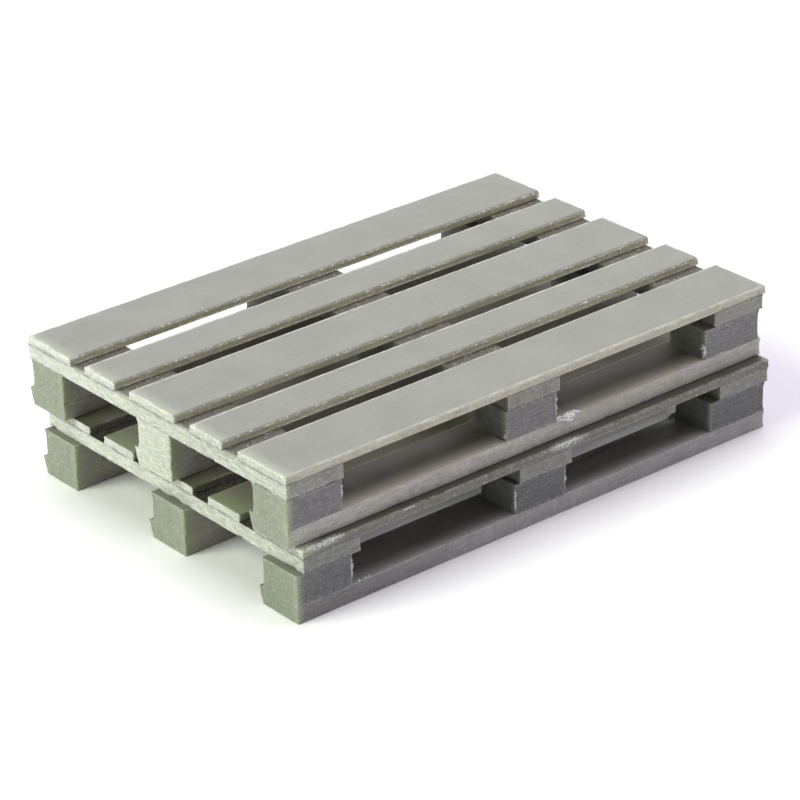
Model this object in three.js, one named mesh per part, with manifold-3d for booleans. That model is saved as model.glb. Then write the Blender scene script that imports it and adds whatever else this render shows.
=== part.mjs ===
// A stack of two plastic-lumber pallets, each with the 1200 x 800 footprint.
// Each pallet is built as a timber one is: five deck boards along its length, three
// stringers across, nine blocks, three bottom boards, and coach screws from below.
//
// Millimetres, +Z up. X runs along the deck boards, from left to right.
// Y runs across them, from front to rear. The origin is on the floor, in the middle
// of the stack's footprint.

import * as THREE from "three";
import * as BufferGeometryUtils from "three/addons/utils/BufferGeometryUtils.js";
import Module from "manifold-3d";

const wasm = await Module();
wasm.setup();

// ---------------------------------------------------------------- driving sizes

// The footprint of one pallet.
const palletLength = 1200;
const palletWidth = 800;

// Deck boards: three wide ones over the rows of blocks, and two narrow ones between.
const deckBoardThickness = 16;
const wideBoardWidth = 141;
const narrowBoardWidth = 97;
const deckEdgeRadius = 5;

// Stringers: three, across the pallet, between the deck boards and the blocks.
const stringerThickness = 30;
const stringerWidth = 133;

// Blocks: three rows along the length, three columns across. The right-hand ones are
// longer than the others.
const blockHeight = 62;
const blockWidth = 102;
const blockLength = 128;
const rightBlockLength = 148;
const middleBlockOffset = -18;
const blockCornerRadius = 6;

// Bottom boards: one under each row of blocks, which it stands past at the rear. Both
// lower edges are bevelled.
const bottomBoardThickness = 36;
const bottomBoardOverhang = 11;
const rearBevelWidth = 9;
const rearBevelHeight = 18;
const frontBevel = 3;
const frontBevelRadius = 1;

// Small radius on every other sawn edge.
const sawnEdgeRadius = 2;

// Coach screws, driven up through bottom board, block and stringer. The bite is how far
// one goes into the deck board.
const screwShankRadius = 5;
const screwBite = 9;
const screwTipLength = 9;
const screwHeadRadius = 11;
const screwHeadHeight = 8;
const screwHeadChamfer = 1;
const screwSocketRadius = 4.5;
const screwSocketDepth = 4;
const counterboreDepth = 12;

// Pegs moulded under the narrow deck boards, which seat in sockets in the stringers.
const pegRadius = 10;
const pegLength = 16;

// Clearances: round a screw or a peg, past the end of one, and under each piece of
// the pallet that is turned.
const boreClearance = 0.3;
const endClearance = 1;
const turnedSeatGap = 0.3;

// How far a cutter starts or ends outside what it cuts, and a peg inside its board.
const overrun = 1;

// How each pallet was cut and laid. Insets are from the ends of the footprint and
// offsets are from its middle.
const lowerMake = {
  deckLeftInset: 16,
  deckRightInset: 15,
  rightStringerInset: 18,
  middleStringerOffset: -4,
  rightBlockInset: 27,
  bottomRightInset: 26,
  centreRowOffset: -10,
  rearRowInset: 7,
  seatGap: 0,
};
const upperMake = {
  deckLeftInset: 0,
  deckRightInset: 0,
  rightStringerInset: 8,
  middleStringerOffset: -12,
  rightBlockInset: 18,
  bottomRightInset: 12,
  centreRowOffset: -2,
  rearRowInset: 8,
  seatGap: turnedSeatGap,
};

// How the upper pallet lies on the lower one: set back from its front edge, and turned
// about the front left corner, in degrees, so that it is further back on the right.
const upperSetBack = 20;
const upperTurn = 0.4;

// Facets round a screw or a bore, round its socket, and along a rounded edge. Points
// closer together than the merge distance become one.
const roundSegments = 12;
const socketSides = 6;
const edgeSegments = 2;
const mergeDistance = 1e-5;

// ---------------------------------------------------------------- derived sizes

const bottomBoardWidth = blockWidth + bottomBoardOverhang;
const screwGrip = bottomBoardThickness - counterboreDepth + blockHeight + stringerThickness;
const screwLength = screwGrip + screwBite;
const shankBoreRadius = screwShankRadius + boreClearance;
const headBoreRadius = screwHeadRadius + boreClearance;
const pegBoreRadius = pegRadius + boreClearance;

// The height at which each layer of a pallet starts, from its underside.
function layerHeights(make) {
  const blocks = bottomBoardThickness + make.seatGap;
  const stringers = blocks + blockHeight + make.seatGap;
  const deck = stringers + stringerThickness + make.seatGap;
  return { blocks, stringers, deck, top: deck + deckBoardThickness };
}

// ---------------------------------------------------------------- materials

const plasticColours = {
  deck_board: 0xa9aaa0,
  stringer: 0xa2a596,
  block: 0x8d9286,
  bottom_board: 0x93968b,
};

function plasticMaterial(kind) {
  return new THREE.MeshStandardMaterial({
    color: plasticColours[kind],
    roughness: 0.5,
    metalness: 0,
  });
}

function steelMaterial() {
  return new THREE.MeshStandardMaterial({
    color: 0x9a9c9e,
    roughness: 0.35,
    metalness: 1,
  });
}

// ---------------------------------------------------------------- solids

// A closed geometry as a solid that can be cut and joined.
function solidFrom(geometry) {
  const plain = geometry.index ? geometry.toNonIndexed() : geometry.clone();
  plain.deleteAttribute("normal");
  plain.deleteAttribute("uv");
  const merged = BufferGeometryUtils.mergeVertices(plain, mergeDistance);
  const mesh = new wasm.Mesh({
    numProp: 3,
    vertProperties: new Float32Array(merged.attributes.position.array),
    triVerts: new Uint32Array(merged.index.array),
  });
  return new wasm.Manifold(mesh);
}

function geometryFrom(solid) {
  const mesh = solid.getMesh();
  const geometry = new THREE.BufferGeometry();
  geometry.setAttribute("position", new THREE.BufferAttribute(mesh.vertProperties, 3));
  geometry.setIndex(new THREE.BufferAttribute(mesh.triVerts, 1));
  geometry.computeVertexNormals();
  return geometry;
}

// A closed outline from a list of corners, each with its own radius, anticlockwise.
function roundedOutline(corners) {
  const shape = new THREE.Shape();
  corners.forEach((corner, index) => {
    const here = new THREE.Vector2(corner.x, corner.y);
    const before = corners[(index + corners.length - 1) % corners.length];
    const after = corners[(index + 1) % corners.length];
    const toBefore = new THREE.Vector2(before.x, before.y).sub(here).normalize();
    const toAfter = new THREE.Vector2(after.x, after.y).sub(here).normalize();
    const arcStart = here.clone().addScaledVector(toBefore, corner.radius);
    const arcEnd = here.clone().addScaledVector(toAfter, corner.radius);
    if (index === 0) {
      shape.moveTo(arcStart.x, arcStart.y);
    } else {
      shape.lineTo(arcStart.x, arcStart.y);
    }
    shape.quadraticCurveTo(here.x, here.y, arcEnd.x, arcEnd.y);
  });
  shape.closePath();
  return shape;
}

function rectangleOutline(width, height, lowerRadius, upperRadius) {
  return roundedOutline([
    { x: 0, y: 0, radius: lowerRadius },
    { x: width, y: 0, radius: lowerRadius },
    { x: width, y: height, radius: upperRadius },
    { x: 0, y: height, radius: upperRadius },
  ]);
}

function extruded(outline, length) {
  const settings = { depth: length, bevelEnabled: false, curveSegments: edgeSegments };
  return new THREE.ExtrudeGeometry(outline, settings);
}

// An outline in Y and Z, drawn out along +X.
function extrudedAlongX(outline, length) {
  const turn = new THREE.Matrix4().makeBasis(
    new THREE.Vector3(0, 1, 0),
    new THREE.Vector3(0, 0, 1),
    new THREE.Vector3(1, 0, 0),
  );
  return extruded(outline, length).applyMatrix4(turn);
}

// An outline in X and Z, drawn out along +Y.
function extrudedAlongY(outline, length) {
  const turn = new THREE.Matrix4().makeBasis(
    new THREE.Vector3(1, 0, 0),
    new THREE.Vector3(0, 0, 1),
    new THREE.Vector3(0, -1, 0),
  );
  turn.setPosition(0, length, 0);
  return extruded(outline, length).applyMatrix4(turn);
}

// An upright cylinder from one height to another, about the point x, y.
function cylinderSolid(radius, x, y, bottom, top) {
  const height = top - bottom;
  const geometry = new THREE.CylinderGeometry(radius, radius, height, roundSegments);
  geometry.rotateX(Math.PI / 2);
  geometry.translate(x, y, (bottom + top) / 2);
  return solidFrom(geometry);
}

function withHoles(geometry, holes) {
  let solid = solidFrom(geometry);
  for (const hole of holes) {
    solid = solid.subtract(cylinderSolid(hole.radius, hole.x, hole.y, hole.bottom, hole.top));
  }
  return geometryFrom(solid);
}

// ---------------------------------------------------------------- where things lie

// Across the pallet, from front to rear: each deck board's start and width.
function deckBoardPlaces() {
  const names = ["front", "front_inner", "centre", "rear_inner", "rear"];
  const boardsWidth = 3 * wideBoardWidth + 2 * narrowBoardWidth;
  const gap = (palletWidth - boardsWidth) / (names.length - 1);
  let start = 0;
  return names.map((name) => {
    const narrow = name.endsWith("inner");
    const width = narrow ? narrowBoardWidth : wideBoardWidth;
    const place = { name, start, width, narrow };
    start += width + gap;
    return place;
  });
}

// Across the pallet, from front to rear: each row of blocks.
function rowPlaces(make) {
  const centreStart = (palletWidth - blockWidth) / 2 + make.centreRowOffset;
  return [
    { name: "front", start: 0 },
    { name: "centre", start: centreStart },
    { name: "rear", start: palletWidth - make.rearRowInset - blockWidth },
  ];
}

// Along the pallet, from left to right: each stringer, and the blocks under it.
function columnPlaces(make) {
  const middle = palletLength / 2;
  const middleStringer = middle + make.middleStringerOffset;
  const middleBlock = middle + middleBlockOffset;
  const rightStringerEnd = palletLength - make.rightStringerInset;
  const rightBlockEnd = palletLength - make.rightBlockInset;
  return [
    {
      name: "left",
      stringerStart: make.deckLeftInset,
      blockStart: 0,
      blockLength,
    },
    {
      name: "middle",
      stringerStart: middleStringer - stringerWidth / 2,
      blockStart: middleBlock - blockLength / 2,
      blockLength,
    },
    {
      name: "right",
      stringerStart: rightStringerEnd - stringerWidth,
      blockStart: rightBlockEnd - rightBlockLength,
      blockLength: rightBlockLength,
    },
  ];
}

// The screw's axis is in the middle of its block.
function screwPoint(row, column) {
  return {
    x: column.blockStart + column.blockLength / 2,
    y: row.start + blockWidth / 2,
  };
}

// The peg's axis is where a narrow board and a stringer cross.
function pegPoint(board, column) {
  return {
    x: column.stringerStart + stringerWidth / 2,
    y: board.start + board.width / 2,
  };
}

// Upright holes round the screws of these rows and columns, for a piece whose own
// corner is at the origin given.
function screwHoles(rows, columns, origin, bottom, top) {
  const holes = [];
  for (const row of rows) {
    for (const column of columns) {
      const point = screwPoint(row, column);
      const x = point.x - origin.x;
      const y = point.y - origin.y;
      holes.push({ radius: shankBoreRadius, x, y, bottom, top });
    }
  }
  return holes;
}

// ---------------------------------------------------------------- pieces

// A mesh whose own corner lies at the given place in its pallet.
function piece(name, geometry, material, place) {
  const mesh = new THREE.Mesh(geometry, material);
  mesh.name = name;
  mesh.position.set(place.x, place.y, place.z);
  return mesh;
}

function boardWithPegs(blank, board, columns, origin) {
  let solid = solidFrom(blank);
  for (const column of columns) {
    const point = pegPoint(board, column);
    const x = point.x - origin.x;
    const y = point.y - origin.y;
    solid = solid.add(cylinderSolid(pegRadius, x, y, -pegLength, overrun));
  }
  return geometryFrom(solid);
}

function boardWithScrewHoles(blank, board, layout, origin) {
  const rows = layout.rows.filter((row) => row.name === board.name);
  const holeTop = counterboreDepth + screwLength - layout.heights.deck + endClearance;
  const holes = screwHoles(rows, layout.columns, origin, -overrun, holeTop);
  return withHoles(blank, holes);
}

function deckBoard(layout, board) {
  const { make, heights, columns } = layout;
  const origin = { x: make.deckLeftInset, y: board.start, z: heights.deck };
  const length = palletLength - make.deckLeftInset - make.deckRightInset;
  const outline = rectangleOutline(
    board.width, deckBoardThickness, sawnEdgeRadius, deckEdgeRadius);
  const blank = extrudedAlongX(outline, length);
  const geometry = board.narrow
    ? boardWithPegs(blank, board, columns, origin)
    : boardWithScrewHoles(blank, board, layout, origin);
  const name = `${layout.prefix}_deck_board_${board.name}`;
  return piece(name, geometry, plasticMaterial("deck_board"), origin);
}

function stringer(layout, column) {
  const origin = { x: column.stringerStart, y: 0, z: layout.heights.stringers };
  const outline = rectangleOutline(
    stringerWidth, stringerThickness, sawnEdgeRadius, sawnEdgeRadius);
  const blank = extrudedAlongY(outline, palletWidth);
  const top = stringerThickness + overrun;
  const holes = screwHoles(layout.rows, [column], origin, -overrun, top);
  const socketBottom = stringerThickness + layout.make.seatGap - pegLength - endClearance;
  for (const board of layout.boards.filter((candidate) => candidate.narrow)) {
    const point = pegPoint(board, column);
    const x = point.x - origin.x;
    holes.push({ radius: pegBoreRadius, x, y: point.y, bottom: socketBottom, top });
  }
  const name = `${layout.prefix}_stringer_${column.name}`;
  return piece(name, withHoles(blank, holes), plasticMaterial("stringer"), origin);
}

function block(layout, row, column) {
  const origin = { x: column.blockStart, y: row.start, z: layout.heights.blocks };
  const radius = blockCornerRadius;
  const outline = rectangleOutline(column.blockLength, blockWidth, radius, radius);
  const blank = extruded(outline, blockHeight);
  const top = blockHeight + overrun;
  const holes = screwHoles([row], [column], origin, -overrun, top);
  const name = `${layout.prefix}_block_${row.name}_${column.name}`;
  return piece(name, withHoles(blank, holes), plasticMaterial("block"), origin);
}

function bottomBoard(layout, row) {
  const origin = { x: 0, y: row.start, z: 0 };
  const radius = sawnEdgeRadius;
  const length = palletLength - layout.make.bottomRightInset;
  const outline = roundedOutline([
    { x: 0, y: frontBevel, radius: frontBevelRadius },
    { x: frontBevel, y: 0, radius: frontBevelRadius },
    { x: bottomBoardWidth - rearBevelWidth, y: 0, radius },
    { x: bottomBoardWidth, y: rearBevelHeight, radius },
    { x: bottomBoardWidth, y: bottomBoardThickness, radius },
    { x: 0, y: bottomBoardThickness, radius },
  ]);
  const blank = extrudedAlongX(outline, length);
  const top = bottomBoardThickness + overrun;
  const holes = screwHoles([row], layout.columns, origin, -overrun, top);
  const counterbores = holes.map((hole) => (
    { ...hole, radius: headBoreRadius, top: counterboreDepth }
  ));
  const geometry = withHoles(blank, [...holes, ...counterbores]);
  const name = `${layout.prefix}_bottom_board_${row.name}`;
  return piece(name, geometry, plasticMaterial("bottom_board"), origin);
}

// The screw stands on its head, which has a hexagonal socket in its outer face.
function screwGeometry() {
  const shankTop = screwHeadHeight + screwLength;
  const profile = [
    new THREE.Vector2(0, 0),
    new THREE.Vector2(screwHeadRadius - screwHeadChamfer, 0),
    new THREE.Vector2(screwHeadRadius, screwHeadChamfer),
    new THREE.Vector2(screwHeadRadius, screwHeadHeight),
    new THREE.Vector2(screwShankRadius, screwHeadHeight),
    new THREE.Vector2(screwShankRadius, shankTop - screwTipLength),
    new THREE.Vector2(0, shankTop),
  ];
  const turned = new THREE.LatheGeometry(profile, roundSegments);
  turned.rotateX(Math.PI / 2);
  const cutterHeight = screwSocketDepth + overrun;
  const hexagon = new THREE.CylinderGeometry(
    screwSocketRadius, screwSocketRadius, cutterHeight, socketSides);
  hexagon.rotateX(Math.PI / 2);
  hexagon.translate(0, 0, cutterHeight / 2 - overrun);
  return geometryFrom(solidFrom(turned).subtract(solidFrom(hexagon)));
}

function coachScrew(layout, row, column) {
  const point = screwPoint(row, column);
  const headFace = counterboreDepth - screwHeadHeight - layout.make.seatGap;
  const place = { x: point.x, y: point.y, z: headFace };
  const name = `${layout.prefix}_coach_screw_${row.name}_${column.name}`;
  return piece(name, screwGeometry(), steelMaterial(), place);
}

// ---------------------------------------------------------------- pallets

function pallet(prefix, make) {
  const layout = {
    prefix,
    make,
    heights: layerHeights(make),
    boards: deckBoardPlaces(),
    rows: rowPlaces(make),
    columns: columnPlaces(make),
  };
  const group = new THREE.Group();
  for (const board of layout.boards) {
    group.add(deckBoard(layout, board));
  }
  for (const column of layout.columns) {
    group.add(stringer(layout, column));
  }
  for (const row of layout.rows) {
    group.add(bottomBoard(layout, row));
    for (const column of layout.columns) {
      group.add(block(layout, row, column));
      group.add(coachScrew(layout, row, column));
    }
  }
  return group;
}

// The two pallets, moved together so that the middle of their footprint is the origin.
function stack() {
  const lower = pallet("lower", lowerMake);
  const upper = pallet("upper", upperMake);
  const upperHeight = layerHeights(lowerMake).top + turnedSeatGap;
  upper.position.set(0, upperSetBack, upperHeight);
  upper.rotation.z = THREE.MathUtils.degToRad(upperTurn);
  const group = new THREE.Group();
  group.add(lower, upper);
  group.updateMatrixWorld(true);
  const middle = new THREE.Box3().setFromObject(group).getCenter(new THREE.Vector3());
  group.position.set(-middle.x, -middle.y, 0);
  return group;
}

export default stack();
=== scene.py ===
import itertools
import math

import bmesh
import bpy
import numpy as np
from mathutils import Matrix, Vector


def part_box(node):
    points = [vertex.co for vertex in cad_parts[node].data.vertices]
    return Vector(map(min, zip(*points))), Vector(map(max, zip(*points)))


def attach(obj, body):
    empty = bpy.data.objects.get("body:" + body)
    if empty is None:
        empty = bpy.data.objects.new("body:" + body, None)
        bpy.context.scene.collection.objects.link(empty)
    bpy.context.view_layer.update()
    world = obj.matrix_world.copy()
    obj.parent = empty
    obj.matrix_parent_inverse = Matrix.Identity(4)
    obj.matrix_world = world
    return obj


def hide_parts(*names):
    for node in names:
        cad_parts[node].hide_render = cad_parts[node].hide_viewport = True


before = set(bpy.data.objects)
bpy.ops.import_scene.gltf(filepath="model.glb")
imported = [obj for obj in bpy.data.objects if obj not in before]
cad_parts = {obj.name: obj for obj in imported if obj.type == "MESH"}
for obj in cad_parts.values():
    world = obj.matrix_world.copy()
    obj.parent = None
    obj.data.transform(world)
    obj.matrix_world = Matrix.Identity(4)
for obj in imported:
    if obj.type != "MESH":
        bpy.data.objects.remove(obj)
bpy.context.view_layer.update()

# Two plastic-lumber pallets, one lying on the other. Lengths are in metres. Each board,
# stringer and block is modelled again as a worn, sawn piece inside its CAD solid, in
# the same place. The coach screws keep their CAD solids.

MM = 0.001
PALLETS = ("lower", "upper")
ROWS = ("front", "centre", "rear")
COLUMNS = ("left", "middle", "right")
DECK_ROWS = ("front", "front_inner", "centre", "rear_inner", "rear")

# ---------- noise

AXIS_PRIMES = (73856093, 19349663, 83492791)
SEED_FACTOR = 2654435761
SCRAMBLING = ((16, 0x45D9F3B), (15, 0x2C1B3C6D))
LOW_32_BITS = np.uint64(0xFFFFFFFF)
NOISE_OFFSET = 4096.5


def scrambled(corners, seed):
    """A repeatable value from -1 to 1 for each whole-number corner."""
    h = np.uint64(seed * SEED_FACTOR % 2**32)
    for i, prime in enumerate(AXIS_PRIMES):
        h = h ^ corners[:, i].astype(np.uint64) * np.uint64(prime)
    h = h & LOW_32_BITS
    for shift, factor in SCRAMBLING:
        h = ((h ^ (h >> np.uint64(shift))) * np.uint64(factor)) & LOW_32_BITS
    h = h ^ (h >> np.uint64(16))
    return h.astype(float) / 2**31 - 1


def noise(points, size, seed):
    """Smooth noise from -1 to 1, with features of the given size, one or three numbers."""
    p = points / np.asarray(size, float) + NOISE_OFFSET
    base = np.floor(p).astype(np.int64)
    f = p - base
    f = f * f * (3 - 2 * f)
    total = np.zeros(len(points))
    for corner in itertools.product((0, 1), repeat=3):
        weight = np.prod(np.where(corner, f, 1 - f), axis=1)
        total += weight * scrambled(base + np.array(corner), seed)
    return total


def rough_noise(points, size, seed, layers=3):
    """Noise with finer and weaker layers added."""
    size = np.asarray(size, float)
    total, weight = np.zeros(len(points)), 0.0
    for layer in range(layers):
        total += noise(points, size / 2**layer, seed + layer) / 2**layer
        weight += 1 / 2**layer
    return total / weight


def wander(points, size, seed):
    """Smooth noise from 0 to 1."""
    return 0.5 + 0.5 * noise(points, size, seed)


def rough_wander(points, size, seed):
    """Rough noise from 0 to 1."""
    return 0.5 + 0.5 * rough_noise(points, size, seed)


def smooth_step(low, high, value):
    t = np.clip((value - low) / (high - low), 0, 1)
    return t * t * (3 - 2 * t)


# ---------- sawn pieces

# Where the lattice lines of a rounded corner lie, as shares of its radius.
ROUND_FRACTIONS = (0.0, 0.423, 0.732, 1.0)
# How squarely a face looks along an axis where its looks start, and where they are full.
SIDE_FACING = (0.3, 0.8)
TOP_FACING = (0.45, 0.95)
# An upright face to the front: the most it looks up or down, and the most it looks along Y.
UPRIGHT, FRONTWARD = 0.01, -0.9


def turn_of(node):
    """How far a CAD piece is turned about Z, from its largest upright long-side face."""
    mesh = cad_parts[node].data
    upright = [p for p in mesh.polygons if abs(p.normal.z) < UPRIGHT and p.normal.y < FRONTWARD]
    largest = max(upright, key=lambda p: p.area)
    return math.atan2(largest.normal.x, -largest.normal.y)


def own_box(node, turn):
    """A CAD piece's box along its own directions."""
    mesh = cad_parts[node].data
    x, y, z = np.array([v.co for v in mesh.vertices], float).T
    c, s = math.cos(-turn), math.sin(-turn)
    own = np.column_stack((c * x - s * y, s * x + c * y, z))
    return own.min(0), own.max(0)


def marks(low, high, radius_low, radius_high, step):
    """Where the lattice lines cross one edge of a piece, close together at its corners."""
    start = [low + radius_low * f for f in ROUND_FRACTIONS]
    end = [high - radius_high * f for f in reversed(ROUND_FRACTIONS)]
    between = max(1, round((end[0] - start[-1]) / step))
    return np.array(start + list(np.linspace(start[-1], end[0], between + 1)[1:-1]) + end)


def lattice(xs, ys, zs):
    """The closed surface of a box as points and quads, with lines at the marks given."""
    counts = [len(xs), len(ys), len(zs)]
    number = -np.ones(counts, int)
    grid = np.stack(np.meshgrid(xs, ys, zs, indexing="ij"), axis=-1)
    inside = np.zeros(counts, bool)
    inside[1:-1, 1:-1, 1:-1] = True
    number[~inside] = np.arange((~inside).sum())
    points = grid[~inside]
    quads = []
    for axis in range(3):
        for end in (0, -1):
            side = np.take(number, end, axis=axis)
            a, b, c, d = side[:-1, :-1], side[1:, :-1], side[1:, 1:], side[:-1, 1:]
            forward = (end == -1) != (axis == 1)
            order = (a, b, c, d) if forward else (a, d, c, b)
            quads.append(np.stack(order, axis=-1).reshape(-1, 4))
    return points, np.concatenate(quads)


def rounded(points, low, high, radius):
    """Moves lattice points onto rounded edges. radius has one row per point."""
    core = np.clip(points, low + radius, high - radius)
    out = (points - core) / radius
    length = np.linalg.norm(out, axis=1, keepdims=True)
    normal = out / length
    facing = normal / radius
    facing /= np.linalg.norm(facing, axis=1, keepdims=True)
    return core + radius * normal, facing


def edge_distance(points, low, high):
    """How far each surface point is from the nearest edge of its box."""
    gaps = np.concatenate((points - low, high - points), axis=1)
    nearest = np.sort(gaps, axis=1)
    return np.maximum(nearest[:, 1], 0)


class Sawn:
    """One piece being shaped: its points, faces, normals and what the material reads.
    top and bottom say how far the rounding of those edges reaches along X, Y and Z,
    rear_top does so for the rear half if it differs, and side is the radius of the
    upright edges. step is the spacing of the points along X, Y and Z, and left_end is
    where the painted glow of light that soaks in starts, along X."""

    def __init__(self, low, high, step, top, bottom, side, left_end, rear_top=None):
        self.low, self.high = np.array(low, float), np.array(high, float)
        self.left_end = left_end
        rear_top = rear_top or top
        axes = []
        for i in (0, 1):
            start = max(top[i], bottom[i], side)
            end = max(rear_top[i], bottom[i], side)
            axes.append(marks(self.low[i], self.high[i], start, end, step[i]))
        axes.append(marks(self.low[2], self.high[2], bottom[2], top[2], step[2]))
        self.flat, self.quads = lattice(*axes)
        depth = (self.flat[:, 1] - self.low[1]) / (self.high[1] - self.low[1])
        self.rear_half = smooth_step(0.4, 0.6, depth)
        radius = self.rounding(top, rear_top, bottom, side)
        self.points, self.facing = rounded(self.flat, self.low, self.high, radius)
        self.edge = edge_distance(self.flat, self.low, self.high)
        self.scuff = np.zeros(len(self.flat))

    def rounding(self, front_top, rear_top, bottom, side):
        """The reach of the rounding at each point along X, Y and Z."""
        top = [
            front + (rear - front) * self.rear_half
            for front, rear in zip(front_top, rear_top)
        ]
        from_top = self.high[2] - self.flat[:, 2]
        from_bottom = self.flat[:, 2] - self.low[2]
        reach = min(2 * side, (self.high[2] - self.low[2]) / 2)
        near_top = 1 - smooth_step(0, reach, from_top)
        near_bottom = 1 - smooth_step(0, reach, from_bottom)
        across = [
            side + (top[i] - side) * near_top + (bottom[i] - side) * near_bottom
            for i in (0, 1)
        ]
        down = np.where(from_top < from_bottom, top[2], bottom[2])
        return np.column_stack((*across, down))

    def sink(self, depth):
        """Moves each point inwards by its own depth, never outwards."""
        self.points -= self.facing * np.maximum(depth, 0)[:, None]

    def attributes(self):
        """What the material reads at each point."""
        from_front = self.flat[:, 1] - self.low[1]
        return {
            "edge_distance": self.edge,
            "end_face": smooth_step(*SIDE_FACING, np.abs(self.facing[:, 0])),
            "side_face": smooth_step(*SIDE_FACING, np.abs(self.facing[:, 1])),
            "top_face": smooth_step(*TOP_FACING, self.facing[:, 2]),
            "from_left": self.flat[:, 0] - self.left_end,
            "from_front": from_front,
            "rear_half": self.rear_half,
            "from_front_rim": np.maximum(from_front, self.high[2] - self.flat[:, 2]),
            "scuff": self.scuff,
        }


def rough_ends(piece, seed, depth=1.2 * MM, size=6 * MM):
    """Sawn ends, torn a little unevenly. Pieces that meet at an end share their seed."""
    on_end = smooth_step(0.5, 0.9, np.abs(piece.facing[:, 0]))
    torn = rough_wander(piece.flat, (40 * MM, size, size), seed)
    piece.sink(on_end * depth * torn)


BITE_RAMP = 0.35


def chipped_edges(piece, seed, depth, share, spared, size=14 * MM):
    """Small bites out of the edges, on the given share of their length. The top or bottom
    edges are spared where they meet another piece."""
    near = 1 - smooth_step(0, 5 * MM, piece.edge)
    if "top" in spared:
        near *= smooth_step(2 * MM, 6 * MM, piece.high[2] - piece.flat[:, 2])
    if "bottom" in spared:
        near *= smooth_step(2 * MM, 6 * MM, piece.flat[:, 2] - piece.low[2])
    bite = rough_noise(piece.flat, size, seed)
    threshold = np.quantile(bite, 1 - share)
    amount = smooth_step(threshold, threshold + BITE_RAMP, bite)
    piece.sink(near * amount * depth)


def wavy_sides(piece, seed, depth=0.9 * MM, length=0.16):
    """The long wander of a hand-fed saw along the piece, on its long sides."""
    bend = wander(piece.flat, (length, 50 * MM, 50 * MM), seed)
    piece.sink(np.abs(piece.facing[:, 1]) * bend * depth)


def worn_behind(piece, start, end, drop=7 * MM, reach=30 * MM, ramp=8 * MM):
    """The rear top edge worn down between two places along X."""
    x, y, z = piece.flat.T
    behind = smooth_step(piece.high[1] - reach, piece.high[1], y)
    between = smooth_step(start, start + ramp, x) * (1 - smooth_step(end - ramp, end, x))
    height = (z - piece.low[2]) / (piece.high[2] - piece.low[2])
    piece.points[:, 2] -= drop * behind * between * height


def scuffed(piece, place, reach, seed, depth=1.2 * MM):
    """A torn patch round one place, given from the piece's low corner: whitened and pitted."""
    away = np.linalg.norm((piece.flat - piece.low - np.array(place)) / np.array(reach), axis=1)
    amount = 1 - smooth_step(0.5, 1.0, away)
    pits = rough_wander(piece.flat, 7 * MM, seed)
    piece.sink(amount * pits * depth)
    piece.scuff = np.maximum(piece.scuff, amount)


def linked(name, data):
    """A new object with this data, in the scene."""
    obj = bpy.data.objects.new(name, data)
    bpy.context.scene.collection.objects.link(obj)
    return obj


def mesh_object(name, points, faces, attributes, turn):
    """A Blender object, turned with its pallet, with what its material reads."""
    mesh = bpy.data.meshes.new(name)
    mesh.from_pydata(points.tolist(), [], faces)
    mesh.transform(Matrix.Rotation(turn, 4, "Z"))
    for key, values in attributes.items():
        attribute = mesh.attributes.new(key, "FLOAT", "POINT")
        attribute.data.foreach_set("value", values.astype(np.float32))
    mesh.shade_smooth()
    return linked(name, mesh)


def sawn_object(name, piece, turn):
    return mesh_object(name, piece.points, piece.quads.tolist(), piece.attributes(), turn)


# ---------- burrs

BURR_STEP = 0.8 * MM
BURR_ROOT = 1.1 * MM


def spine_between(start, end):
    """Close points along a line, and how far along it each one is, from 0 to 1."""
    start, end = np.array(start, float), np.array(end, float)
    count = round(float(np.linalg.norm(end - start)) / BURR_STEP)
    share = np.linspace(0, 1, count)
    return start + (end - start) * share[:, None], share


def strip_faces(count, sides):
    """The faces of a closed strip: rings of points, joined up, with a cap at each end."""
    faces = [list(reversed(range(sides)))]
    for first in range(0, sides * (count - 1), sides):
        for j in range(sides):
            k = (j + 1) % sides
            faces.append([first + j, first + k, first + sides + k, first + sides + j])
    faces.append(list(range(sides * (count - 1), sides * count)))
    return faces


def burr(start, end, outward, sideways, reach, seed):
    """A lip of torn plastic along an edge: a closed strip with teeth of uneven length."""
    spine, share = spine_between(start, end)
    outward, sideways = np.array(outward, float), np.array(sideways, float)
    taper = np.sin(np.pi * share) ** 0.4
    teeth = rough_wander(spine, 4.5 * MM, seed)
    height = reach * taper * (0.1 + 1.3 * teeth**2)
    lean = 0.5 * reach * wander(spine, 7 * MM, seed + 7)
    root = spine - outward * BURR_ROOT
    half = sideways * (BURR_ROOT * (0.3 + 0.7 * taper))[:, None]
    tip = spine + outward * height[:, None] + sideways * lean[:, None]
    points = np.stack((root + half, root - half, tip), axis=1).reshape(-1, 3)
    return points, strip_faces(len(spine), 3)


def burr_object(name, strips, turn):
    """Several strips as one object."""
    points, faces, start = [], [], 0
    for own_points, own_faces in strips:
        points.append(own_points)
        faces += [[i + start for i in face] for face in own_faces]
        start += len(own_points)
    return mesh_object(name, np.concatenate(points), faces, {}, turn)


def shaving(start, end, width, thickness, lift, tilt, seed):
    """A curled sliver of plastic along a line: a thin closed strip that waves. tilt is how
    far it leans up from lying flat, in radians."""
    spine, share = spine_between(start, end)
    taper = 0.15 + 0.85 * np.sin(np.pi * share) ** 0.6
    edge_wander = 0.75 + 0.5 * rough_noise(spine, 6 * MM, seed)
    half = 0.5 * width * taper * edge_wander
    rise = lift * wander(spine, 14 * MM, seed + 3)
    roll = tilt + 0.6 * noise(spine, 18 * MM, seed + 5)
    centre = spine + np.column_stack((0 * rise, 0 * rise, rise))
    across = np.column_stack((0 * roll, np.cos(roll), np.sin(roll)))
    over = np.column_stack((0 * roll, -np.sin(roll), np.cos(roll)))
    rings = [
        centre + across * (a * half)[:, None] + over * (b * thickness / 2)
        for a, b in ((-1, -1), (1, -1), (1, 1), (-1, 1))
    ]
    return np.stack(rings, axis=1).reshape(-1, 3), strip_faces(len(spine), 4)


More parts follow.
